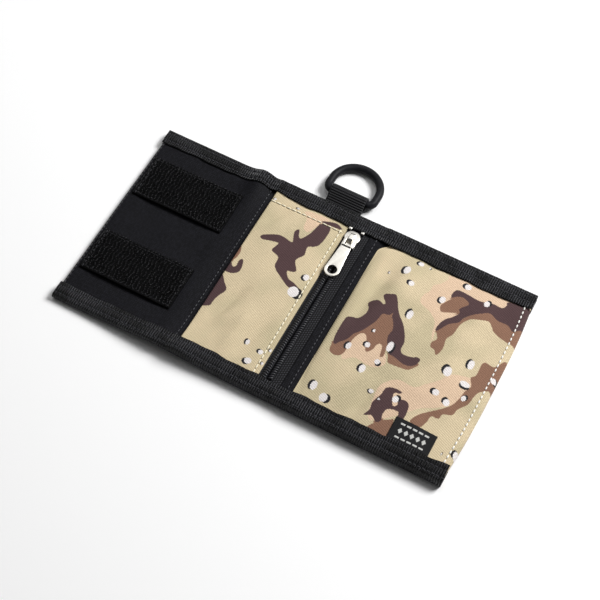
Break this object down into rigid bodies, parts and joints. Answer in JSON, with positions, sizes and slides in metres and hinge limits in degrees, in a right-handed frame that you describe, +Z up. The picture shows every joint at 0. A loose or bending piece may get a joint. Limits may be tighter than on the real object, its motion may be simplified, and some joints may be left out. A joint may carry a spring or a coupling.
{
  "type": "trifold wallet",
  "caption": "Cloth trifold wallet with a zipped coin pocket, a card pocket, a note compartment, a hook-and-loop flap and a D-ring on a webbing loop.",
  "frame": {"origin": "centre of the open wallet's overall box, on the surface it lies on", "axes": "+X along the open wallet from the hook-and-loop flap to the card pocket, +Y towards the top edge with the D-ring, +Z up out of the inner face"},
  "size_m": [0.21, 0.1452, 0.0087],
  "materials": {
    "camouflage_canvas": "woven polyester canvas with a printed desert camouflage of sand, tan, brown and dark brown with black and white chips",
    "black_lining": "plain black nylon oxford",
    "black_grosgrain": "ribbed binding tape, folded over and lockstitched",
    "black_hook_tape": "rows of nylon hooks on a woven tape",
    "black_loop_tape": "brushed nylon loop pile",
    "black_zip_tape": "ribbed woven zip tape",
    "black_nylon_coil": "nylon monofilament coil",
    "nickel_plate": "die-cast zinc with a satin nickel plate",
    "black_woven_label": "damask-woven label, folded ends",
    "black_webbing": "ribbed polyester webbing",
    "grey_moulded_ring": "satin moulded acetal"
  },
  "bodies": {
    "middle_panel": {"outer_shell_middle": "camouflage_canvas", "lining_middle": "black_lining", "rear_binding_middle": "black_grosgrain", "front_binding_middle": "black_grosgrain", "bottom_binding_middle": "black_grosgrain", "zip_pocket_front": "camouflage_canvas", "zip_facing": "black_lining", "zip_tape_left": "black_zip_tape", "zip_tape_right": "black_zip_tape", "zip_coil_left": "black_nylon_coil", "zip_coil_right": "black_nylon_coil", "zip_top_stop_left": "nickel_plate", "zip_top_stop_right": "nickel_plate", "card_pocket_mouth": "camouflage_canvas"},
    "left_flap": {"outer_shell_left": "camouflage_canvas", "lining_left": "black_lining", "rear_binding_left": "black_grosgrain", "front_binding_left": "black_grosgrain", "bottom_binding_left": "black_grosgrain", "hook_tape_upper": "black_hook_tape", "hook_tape_lower": "black_hook_tape"},
    "right_panel": {"outer_shell_right": "camouflage_canvas", "lining_right": "black_lining", "rear_binding_right": "black_grosgrain", "front_binding_right": "black_grosgrain", "bottom_binding_right": "black_grosgrain", "card_pocket_front": "camouflage_canvas", "loop_tape_upper": "black_loop_tape", "loop_tape_lower": "black_loop_tape", "side_label": "black_woven_label"},
    "slider": {"slider_body": "nickel_plate"},
    "pull": {"pull_tab": "nickel_plate"},
    "webbing_tab": {"webbing_loop": "black_webbing"},
    "ring": {"d_ring": "grey_moulded_ring"}
  },
  "joints": [
    {"name": "left_fold", "type": "hinge", "parent": "middle_panel", "child": "left_flap", "pos_m": [-0.045, 0, 0.01151], "axis": [0, 1, 0], "range_deg": [0, 179.5]},
    {"name": "right_fold", "type": "hinge", "parent": "middle_panel", "child": "right_panel", "pos_m": [0.033, 0, 0.00855], "axis": [0, -1, 0], "range_deg": [0, 179.5]},
    {"name": "zip_slide", "type": "slide", "parent": "middle_panel", "child": "slider", "axis": [0, -1, 0], "range_m": [0, 0.084]},
    {"name": "pull_tab_swing", "type": "hinge", "parent": "slider", "child": "pull", "pos_m": [0.0092, 0.0262, 0.00745], "axis": [1, 0, 0], "range_deg": [-150, 0]},
    {"name": "webbing_flex", "type": "hinge", "parent": "middle_panel", "child": "webbing_tab", "pos_m": [-0.004, 0.04355, 0.0025], "axis": [1, 0, 0], "range_deg": [-40, 40]},
    {"name": "ring_swing", "type": "hinge", "parent": "webbing_tab", "child": "ring", "pos_m": [-0.004, 0.0502, 0.00355], "axis": [-1, 0, 0], "range_deg": [-115, 120]}
  ]
}
